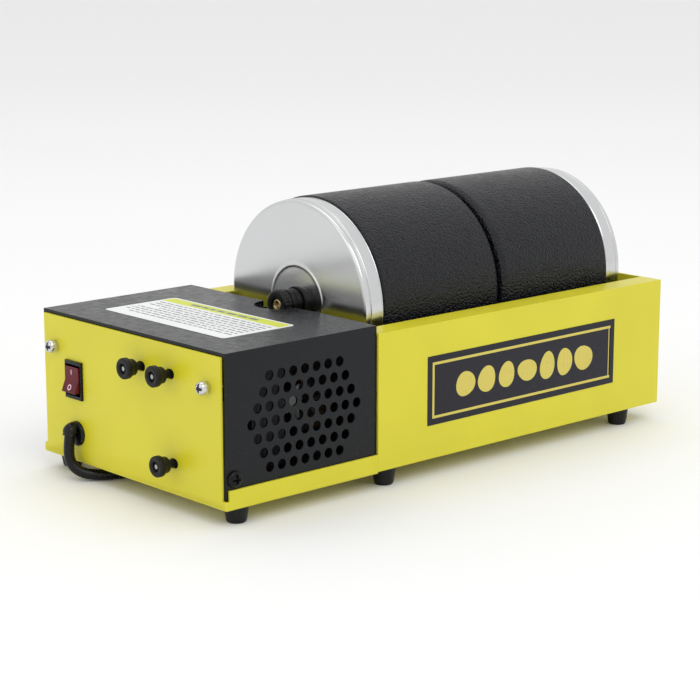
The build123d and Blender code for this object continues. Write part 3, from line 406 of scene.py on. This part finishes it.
def turn(work, outline, y, z, segments=128, shape=None):
    """Turn an outline of (x, radius) about a line along X.  shape may scale a radius by angle."""
    rings = []
    for x, radius in outline:
        ring = []
        for i in range(segments):
            angle = math.tau * i / segments
            reach = radius * (shape(radius, angle) if shape else 1.0)
            ring.append((x, y + reach * math.cos(angle), z + reach * math.sin(angle)))
        rings.append(ring)
    sweep_rings(work, rings)


def flat_patch(work, corners):
    """One flat face."""
    work.faces.new([work.verts.new(corner) for corner in corners])


def crisp(node, edge, slot, name=None):
    """A copy of a CAD piece with its sharp edges broken by a small bevel."""
    work = bmesh.new()
    work.from_mesh(frame["nodes"][node].data)
    bmesh.ops.remove_doubles(work, verts=work.verts, dist=WELD_CAD)
    bmesh.ops.dissolve_limit(work, angle_limit=math.radians(FLAT_DEGREES), verts=work.verts,
                             edges=work.edges)
    mesh = bpy.data.meshes.new(name or node + "_crisp")
    work.to_mesh(mesh)
    work.free()
    body = frame["nodes"][node]["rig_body"]
    piece = add_piece(mesh.name, mesh, slot, body, node)
    bevel = piece.modifiers.new("broken edges", "BEVEL")
    bevel.width = edge
    bevel.segments = 2
    bevel.limit_method = "ANGLE"
    bevel.angle_limit = math.radians(EDGE_DEGREES)
    bevel.use_clamp_overlap = True
    bevel.harden_normals = True
    return piece


def cross_head(work, centre, outward, radius, height, slot_half, slot_reach, slot_depth):
    """A pan head with a cross recess, as one polar grid that faces outward."""
    side = Vector((0, 0, 1)).cross(outward).normalized()
    rise = outward.cross(side)
    rings = 44
    spokes = 120
    crown = 4.5                              # the higher, the flatter the top
    grid = []
    for i in range(rings + 1):
        share = i / rings
        ring = []
        for k in range(spokes):
            angle = math.tau * k / spokes
            u = share * radius * math.cos(angle)
            v = share * radius * math.sin(angle)
            top = height * (1 - share ** crown) ** 0.5
            arm = max(slot_reach - max(abs(u), abs(v)), 0) / slot_reach
            wall = max(slot_half - min(abs(u), abs(v)), 0) / slot_half
            top -= slot_depth * min(1.0, 3 * wall) * min(1.0, 2.2 * arm)
            ring.append(centre + side * u + rise * v + outward * max(top, 0))
        grid.append(ring)
    sweep_rings(work, grid)


# ---------------------------------------------------------------- mains lead
LEAD = [  # x from the end plate, y, z, in millimetres
    (-4.9, 47.6, 27.0), (-6.6, 47.6, 17.0), (-6.4, 45.4, 8.8), (-1.2, 39.8, 3.6), (13.0, 31.2, 3.0),
    (32.0, 30.0, 3.0), (52.0, 39.5, 3.0), (68.0, 58.0, 3.0), (84.0, 86.0, 3.0), (110.0, 112.0, 3.0),
    (150.0, 125.0, 3.0), (196.0, 125.2, 3.0),
]
TAIL = [(208.0, 206.9, 9.0), (190.0, 208.5, 6.2), (172.0, 204.0, 3.6), (152.0, 194.0, 5.0)]
COIL_CENTRE = (212.0, 166.0)
COIL_RADII = (41.0, 35.0, 29.0)              # turn radii, a cord's width apart
CORD_D = 6.0


def eased(t):
    """0 to 1 with soft ends."""
    t = max(0.0, min(1.0, t))
    return t * t * (3 - 2 * t)


def coil_points():
    """Turns in two layers: inward on the floor, then outward on top, with short changes."""
    outer, middle, inner = COIL_RADII
    # (degrees of travel at which a change ends, radius and height after it)
    stages = [(0, outer, 3.0), (270 + 90, middle, 3.0), (630 + 90, inner, 3.0),
              (930 + 90, inner, 9.0), (1230 + 90, middle, 9.0), (1590 + 90, outer, 9.0)]
    change = 60.0                            # degrees of travel that a change takes
    per_turn = 16
    half_turns = 11
    # a spline of order 3 runs inside its control points; this puts the turns on their radii
    swell = 1 / (0.75 + 0.25 * math.cos(math.tau / per_turn))
    points = []
    for step in range(per_turn * half_turns // 2 + 1):
        travel = 360.0 * step / per_turn
        radius = stages[0][1]
        height = stages[0][2]
        for ends, new_radius, new_height in stages[1:]:
            share = eased((travel - ends + change) / change)
            radius += (new_radius - radius) * share
            height += (new_height - height) * share
        angle = math.radians(travel - 90)
        points.append((COIL_CENTRE[0] + swell * radius * math.cos(angle),
                       COIL_CENTRE[1] + swell * radius * math.sin(angle), height))
    return points


def add_cord():
    """The lead: one smooth curve through its visible run, its coil and its free end."""
    route = [Vector((PLATE_X + x * MM, y * MM, z * MM)) for x, y, z in LEAD + coil_points() + TAIL]
    curve = bpy.data.curves.new("mains_lead", "CURVE")
    curve.dimensions = "3D"
    spline = curve.splines.new("NURBS")
    spline.points.add(len(route) - 1)
    for point, place in zip(spline.points, route):
        point.co = (*place, 1.0)
    spline.order_u = 3
    spline.use_endpoint_u = True
    spline.resolution_u = 8
    curve.bevel_depth = CORD_D * MM / 2
    curve.bevel_resolution = 6
    curve.use_fill_caps = True
    curve.materials.append(FINISHES["cord_pvc"])
    lead = bpy.data.objects.new("mains_lead", curve)
    bpy.context.scene.collection.objects.link(lead)
    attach(lead, "root")
    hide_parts("power_cord", "cord_coil", "cord_tail")
    plug = crisp("power_plug", 0.0006, "cord_pvc", "plug_body")
    prongs = crisp("plug_prongs", 0.0003, "brass", "plug_blades")


add_cord()


# ---------------------------------------------------------------- sheet metal
def finish_cad_nodes():
    """Give every CAD node the finish of its slot."""
    for entry in frame["record"]["subparts"]:
        mesh = frame["nodes"][entry["node"]].data
        mesh.materials.clear()
        mesh.materials.append(FINISHES[entry["material_slot"]])


finish_cad_nodes()
for panel in ("base_pan", "tray_channel", "tray_partition", "tray_end_wall"):
    crisp(panel, 0.00022, "yellow_paint")
crisp("motor_cover", 0.0002, "black_paint")
crisp("switch_body", 0.0002, "switch_plastic")


# ---------------------------------------------------------------- barrels and lids
def add_barrel(side, inward):
    """A rubber barrel: grained body, eased closed end and a shoulder under the lid."""
    low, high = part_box(side + "_barrel_shell")
    mouth = low.x if inward > 0 else high.x
    length = high.x - low.x

    def at(depth):
        return mouth + inward * depth * MM

    closed = length / MM
    outline = [(at(0), 0.050), (at(0), 0.0556), (at(10.4), 0.0556), (at(10.4), BARREL_R - 0.0008),
               (at(11.2), BARREL_R), (at(closed - 3.2), BARREL_R), (at(closed - 0.6), BARREL_R - 0.0014),
               (at(closed), BARREL_R - 0.0034), (at(closed), 0)]
    inner = [(at(closed - 8.0), 0), (at(closed - 8.0), 0.046), (at(closed - 12.0), 0.050),
             (at(0), 0.050)]
    work = bmesh.new()
    turn(work, rounded(outline, 0.0016), 0, AXIS_Z, 192)
    turn(work, rounded(inner, 0.002), 0, AXIS_Z, 96)
    mesh = finished(work, side + "_barrel_body")
    add_piece(mesh.name, mesh, "barrel_rubber", side + "_barrel", side + "_barrel_shell")


def add_lid(side, outward):
    """A spun metal cap: flat face, raised ring, eased corner, a beaded skirt and a rolled edge."""
    low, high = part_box(side + "_lid_washer")
    face = high.x if outward < 0 else low.x
    cap_low, cap_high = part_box(side + "_lid_cap")
    rim = cap_high.y
    skirt = (cap_high.x - cap_low.x) / MM - 0.45

    def at(depth):
        return face - outward * depth * MM

    ring = 0.0208                            # radius of the raised ring
    # flat points either side of the ring and inside the rim keep the face's shading flat
    outline = [(at(0), 0.0022), (at(0), ring - 0.0045), (at(0), ring - 0.0030),
               (at(0), ring - 0.0012), (at(-0.3), ring - 0.0006), (at(-0.3), ring + 0.0006),
               (at(0), ring + 0.0012), (at(0), ring + 0.0030), (at(0), ring + 0.0045),
               (at(0), rim - 0.0050), (at(0), rim - 0.0035), (at(0), rim - 0.0019), (at(0.5), rim - 0.0009),
               (at(1.2), rim - 0.0005), (at(3.3), rim - 0.0005), (at(3.5), rim - 0.0009),
               (at(3.9), rim - 0.0009), (at(4.2), rim - 0.0001), (at(skirt - 1.1), rim - 0.0001),
               (at(skirt - 0.8), rim - 0.0004), (at(skirt - 0.4), rim), (at(skirt), rim - 0.0004),
               (at(skirt), rim - 0.0009), (at(0.9), rim - 0.0013), (at(0.9), 0.0022)]
    work = bmesh.new()
    turn(work, rounded(outline, 0.0005), 0, AXIS_Z, 224)
    mesh = finished(work, side + "_lid_shell")
    add_piece(mesh.name, mesh, "lid_aluminium", side + "_lid", side + "_lid_cap", sharp=50.0)


def add_knob(side, outward):
    """A moulded knob: a fluted front disc, a deep groove, a middle ring and a back ring."""
    low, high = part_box(side + "_knob_grip")
    front = low.x if outward < 0 else high.x
    length = (high.x - low.x) / MM
    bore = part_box(side + "_knob_insert")[1].y

    def at(depth):
        return front - outward * depth * MM

    outline = [(at(0.7), bore), (at(0.25), bore + 0.0006), (at(0), bore + 0.0016), (at(0), 0.0073),
               (at(0.6), 0.0083), (at(4.4), 0.0084), (at(4.7), 0.0069), (at(5.9), 0.0069),
               (at(6.1), 0.0079), (at(8.9), 0.0080), (at(9.1), 0.0070), (at(9.6), 0.0070), (at(9.8), 0.0076),
               (at(length - 0.3), 0.0076), (at(length), 0.0072), (at(length), bore)]

    flute_count = 24
    flute_depth = 0.03                       # as a share of the radius
    fluted_above = 0.0081                    # only the front disc is this large

    def flutes(radius, angle):
        if radius < fluted_above:
            return 1.0
        return 1 - flute_depth * (0.5 + 0.5 * math.cos(flute_count * angle)) ** 2

    work = bmesh.new()
    turn(work, rounded(outline, 0.0004, 3), 0, AXIS_Z, 192, flutes)
    mesh = finished(work, side + "_knob_body")
    add_piece(mesh.name, mesh, "knob_plastic", side + "_knob", side + "_knob_grip")
    crisp(side + "_knob_insert", 0.0003, "brass")
    crisp(side + "_lid_stud", 0.0003, "zinc_steel")


for side, inward in (("near", 1), ("far", -1)):
    add_barrel(side, inward)
    add_lid(side, -inward)
    add_knob(side, -inward)


# ---------------------------------------------------------------- screws, stand-offs and feet
def add_chrome_screws():
    """Plated pan heads on the end plate, with a dark cross of painted shade in each recess."""
    low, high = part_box("cover_front_screws")
    radius = 0.0037
    seat = PLATE_X - 0.0026                  # top of the collar, where the head begins
    z = (low.z + high.z) / 2
    work = bmesh.new()
    for y in (low.y + radius, high.y - radius):
        centre = Vector((seat, y, z))
        cross_head(work, centre, Vector((-1, 0, 0)), radius, seat - low.x, 0.0008, 0.0027, 0.0021)
        shank = [(seat, radius), (seat, 0.0033), (PLATE_X - 0.0014, 0.0033), (PLATE_X - 0.0013, 0.0031),
                 (PLATE_X - 0.0012, 0.0033), (PLATE_X, 0.0033), (PLATE_X, 0.00195), (high.x, 0.00195),
                 (high.x, 0)]
        turn(work, shank, y, z, 48)
    mesh = finished(work, "chrome_heads")
    add_piece(mesh.name, mesh, "chrome_screw", "root", "cover_front_screws")
    # a flat near-black cross in each recess: painted shade where the recess lies in shadow
    shade = bmesh.new()
    x = low.x + 0.0007
    for y in (low.y + radius, high.y - radius):
        for half_y, half_z in ((0.0023, 0.0005), (0.0005, 0.0023)):
            flat_patch(shade, [(x, y - half_y, z - half_z), (x, y - half_y, z + half_z),
                               (x, y + half_y, z + half_z), (x, y + half_y, z - half_z)])
            x += LIFT
    mesh = finished(shade, "chrome_recess_shade")
    add_piece(mesh.name, mesh, "chrome_screw", "root", material=RECESS_SHADE)


def add_side_screws():
    """Black heads low on both sides of the cover."""
    low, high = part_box("cover_side_screws")
    x = (low.x + high.x) / 2
    z = (low.z + high.z) / 2
    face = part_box("motor_cover")[1].y
    work = bmesh.new()
    for side in (-1, 1):
        cross_head(work, Vector((x, side * face, z)), Vector((0, side, 0)), (high.x - low.x) / 2,
                   high.y - face, 0.0007, 0.0028, 0.0016)
    mesh = finished(work, "side_heads")
    add_piece(mesh.name, mesh, "black_screw", "root", "cover_side_screws")


def add_standoffs():
    """Rubber stand-offs: a dished front disc, a waist, a smaller disc and a neck in the slot."""
    low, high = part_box("rubber_standoffs")
    studs = [(-10.4, 63.6), (-34.8, 63.6), (-36.8, 16.8)]    # y and height over the pan, mm
    front = low.x

    def at(depth):
        return front + depth * MM

    outline = [(at(1.9), 0), (at(1.9), 0.0024), (at(0.4), 0.0027), (at(0), 0.0036), (at(0), 0.0050),
               (at(0.6), 0.0056), (at(3.4), 0.0056), (at(4.2), 0.0047), (at(5.2), 0.0044),
               (at(7.0), 0.0044), (at(7.6), 0.0036), (at(8.2), 0.0023), (at(12.7), 0.0022),
               (at(12.8), 0.0055), (high.x, 0.0055), (high.x, 0)]
    work = bmesh.new()
    for y, height in studs:
        turn(work, rounded(outline, 0.0005), y * MM, PAN_Z + height * MM, 72)
    mesh = finished(work, "standoff_rubbers")
    add_piece(mesh.name, mesh, "black_rubber", "root", "rubber_standoffs")


def add_feet():
    """Tapered rubber feet with an eased bottom edge and a screw recess."""
    low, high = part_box("rubber_feet")
    reach = 0.0065                           # a foot's largest radius
    sides = 64
    xs = [PLATE_X + 0.013, PLATE_X + 0.1155, PLATE_X + 0.3085]
    work = bmesh.new()
    for x in xs:
        top = PAN_Z if x == xs[0] else high.z
        for y in (low.y + reach, high.y - reach):
            outline = [(0.0021, top), (reach, top), (reach - 0.0002, top - 0.0025), (0.0053, 0.0009),
                       (0.0047, 0), (0.0030, 0), (0.0029, 0.0030), (0.0021, 0.0030)]
            rings = []
            for radius, z in rounded(outline, 0.0006, 3):
                rings.append([(x + radius * math.cos(math.tau * i / sides),
                               y + radius * math.sin(math.tau * i / sides), z) for i in range(sides)])
            sweep_rings(work, rings)
    mesh = finished(work, "foot_rubbers")
    add_piece(mesh.name, mesh, "black_rubber", "root", "rubber_feet")


add_chrome_screws()
add_side_screws()
add_standoffs()
add_feet()


# ---------------------------------------------------------------- strain relief
def add_strain_relief():
    """A flange against the plate and a tapering hood that turns the lead downward."""
    low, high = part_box("strain_relief")
    y = (low.y + high.y) / 2
    z = (low.z + high.z) / 2
    flange = [(PLATE_X + 0.006, 0), (PLATE_X + 0.006, 0.0046), (PLATE_X, 0.0053), (PLATE_X, 0.0069),
              (PLATE_X - 0.0010, 0.0069), (PLATE_X - 0.0018, 0.0061), (PLATE_X - 0.0019, 0)]
    work = bmesh.new()
    turn(work, rounded(flange, 0.0005), y, z, 96)
    bend = 0.0034                            # radius of the hood's bend
    centre = Vector((PLATE_X - 0.0015, y, z + 0.0004))
    sideways = Vector((0, 1, 0))
    rings = []
    spans = 18
    sides = 48
    for i in range(spans + 1):
        share = i / spans
        angle = math.radians(90 + 90 * share)
        away = Vector((math.cos(angle), 0, math.sin(angle)))
        radius = 0.0030 + 0.0013 * min(1.0, 1.6 * share)
        if 0.86 < share < 0.95:              # a groove near the hood's mouth
            radius -= 0.0003
        ring = []
        for k in range(sides):
            turned = math.tau * k / sides
            outward = radius * math.sin(turned)
            ring.append(centre + away * (bend + max(outward, 0.0001 - bend))
                        + sideways * radius * math.cos(turned))
        rings.append(ring)
    sweep_rings(work, rings, closed_ends=True)
    mesh = finished(work, "lead_gland")
    add_piece(mesh.name, mesh, "switch_plastic", "root", "strain_relief")


add_strain_relief()


# ---------------------------------------------------------------- rocker
def add_rocker():
    """The rocker keeps its CAD shape, and carries a bar and a ring on its two faces."""
    crisp("rocker", 0.00035, "rocker_red", "rocker_cap")
    low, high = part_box("rocker")
    body = frame["nodes"]["rocker"]["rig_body"]
    middle_y = (low.y + high.y) / 2
    pivot = Vector((PLATE_X - 0.0004, middle_y, PAN_Z + 0.0458))
    tilt = math.radians(10)
    valley = 1.97                            # the surface at its middle line, mm out of the pivot
    rise = 1.5 / 7.3                         # slope of the two faces either side of it

    def on_face(across, up):
        """A point just above the rocker's surface, given level with the plate."""
        out = -valley - rise * abs(up)
        return pivot + MM * Vector((out * math.cos(tilt) + up * math.sin(tilt), across,
                                    up * math.cos(tilt) - out * math.sin(tilt)))

    work = bmesh.new()
    flat_patch(work, [on_face(y, z) for y, z in ((-0.3, 2.9), (0.3, 2.9), (0.3, 5.5), (-0.3, 5.5))])
    sides = 32
    ring_drop = 4.1                          # the ring's centre, below the middle line
    for k in range(sides):
        corners = []
        for radius, step in ((1.6, k), (1.6, k + 1), (1.0, k + 1), (1.0, k)):
            angle = math.tau * step / sides
            corners.append(on_face(radius * math.cos(angle), radius * math.sin(angle) - ring_drop))
        flat_patch(work, corners)
    mesh = finished(work, "rocker_symbols")
    add_piece(mesh.name, mesh, "rocker_red", body, material=INK_WHITE)


add_rocker()


# ---------------------------------------------------------------- printed films
def add_label():
    """White film on the cover's top with a coloured heading and rows of plain strokes."""
    low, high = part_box("info_label")
    crisp("info_label", 0.00005, "label_film", "cover_label")
    top = high.z + LIFT
    chooser = random.Random(4)
    strokes = bmesh.new()
    margin = 0.0040
    row_gap = 0.0038
    thick = 0.0013
    band_edge = 0.0016                       # film left bare round the heading
    heading_half = 0.0014                    # half the height of the heading's strokes
    heading_from = high.x - 0.0100
    rows = int((heading_from - low.x - 2 * margin) / row_gap)
    for row in range(rows):
        x = heading_from - margin - row * row_gap
        y = low.y + margin
        row_end = high.y - margin - (chooser.uniform(0.0, 0.03) if row % 4 == 3 else 0.0)
        while y < row_end:
            stop = min(y + chooser.uniform(0.002, 0.007), row_end)
            flat_patch(strokes, [(x, y, top), (x, stop, top),
                                 (x + thick, stop, top), (x + thick, y, top)])
            y = stop + 0.0012
    band = bmesh.new()
    x0, x1 = heading_from, high.x - band_edge
    y0, y1 = low.y + band_edge, high.y - band_edge
    flat_patch(band, [(x0, y0, top), (x0, y1, top), (x1, y1, top), (x1, y0, top)])
    mesh = finished(band, "label_heading")
    add_piece(mesh.name, mesh, "label_film", "root", material=INK_GREEN)
    y = y0 + 0.022
    middle_x = (x0 + x1) / 2
    above = top + LIFT
    while y < y1 - 0.024:
        stop = y + chooser.uniform(0.004, 0.009)
        flat_patch(strokes, [(middle_x - heading_half, y, above), (middle_x - heading_half, stop, above),
                             (middle_x + heading_half, stop, above), (middle_x + heading_half, y, above)])
        y = stop + 0.0016
    mesh = finished(strokes, "label_strokes")
    add_piece(mesh.name, mesh, "label_film", "root", material=INK_GREY)


def add_decal():
    """Dark film on the tray's side with a thin inset border and a row of tumbled stones."""
    low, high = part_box("front_decal")
    crisp("front_decal", 0.00004, "decal_film", "tray_decal")
    y = low.y - LIFT
    inset = 0.0036
    line = 0.0015
    x0, x1 = low.x + inset, high.x - inset
    z0, z1 = low.z + inset, high.z - inset
    border = bmesh.new()
    for a0, a1, b0, b1 in ((x0, x1, z0, z0 + line), (x0, x1, z1 - line, z1),
                           (x0, x0 + line, z0 + line, z1 - line), (x1 - line, x1, z0 + line, z1 - line)):
        flat_patch(border, [(a0, y, b0), (a1, y, b0), (a1, y, b1), (a0, y, b1)])
    chooser = random.Random(11)
    outline_points = 48
    middle_z = (low.z + high.z) / 2
    x = low.x + 0.022
    while x < high.x - 0.028:
        half_x = chooser.uniform(0.0060, 0.0086)
        half_z = chooser.uniform(0.0058, 0.0084)
        lean = chooser.uniform(0, math.tau)
        x += half_x
        corners = []
        for i in range(outline_points):
            angle = math.tau * i / outline_points
            wobble = 1 + 0.05 * math.cos(2 * angle + lean) + 0.03 * math.cos(3 * angle - lean)
            corners.append((x + half_x * wobble * math.cos(angle), y,
                            middle_z + half_z * wobble * math.sin(angle)))
        flat_patch(border, corners)
        x += half_x + 0.0024
    mesh = finished(border, "decal_print")
    add_piece(mesh.name, mesh, "decal_film", "root", material=INK_YELLOW)


add_label()
add_decal()


# ---------------------------------------------------------------- floor and light
def add_floor():
    """A plain pale floor."""
    work = bmesh.new()
    flat_patch(work, [(-12, -12, 0), (12, -12, 0), (12, 12, 0), (-12, 12, 0)])
    mesh = finished(work, "floor")
    finish = Finish("floor_finish", (0.9, 0.9, 0.9), 0.7)
    mesh.materials.append(finish.material)
    floor = bpy.data.objects.new("floor", mesh)
    bpy.context.scene.collection.objects.link(floor)


def add_softbox(name, location, target, size, power):
    """A square area light that points at a target."""
    data = bpy.data.lights.new(name, "AREA")
    data.size = size
    data.energy = power
    lamp = bpy.data.objects.new(name, data)
    lamp.location = location
    lamp.rotation_euler = (Vector(target) - Vector(location)).to_track_quat("-Z", "Y").to_euler()
    bpy.context.scene.collection.objects.link(lamp)


def add_world(strength):
    """Even white light from all round."""
    world = bpy.data.worlds.new("studio")
    world.use_nodes = True
    background = world.node_tree.nodes["Background"]
    background.inputs["Color"].default_value = (1.0, 1.0, 1.0, 1.0)
    background.inputs["Strength"].default_value = strength
    bpy.context.scene.world = world


add_floor()
middle = (0.0, 0.0, 0.06)
add_softbox("key", (-0.6, -1.5, 1.6), middle, 1.2, 9)
add_softbox("side", (-1.9, 0.2, 1.0), middle, 1.0, 2)
add_softbox("top", (0.2, 0.3, 2.0), middle, 1.6, 6)
add_world(0.9)
bpy.context.scene.view_settings.view_transform = "Standard"
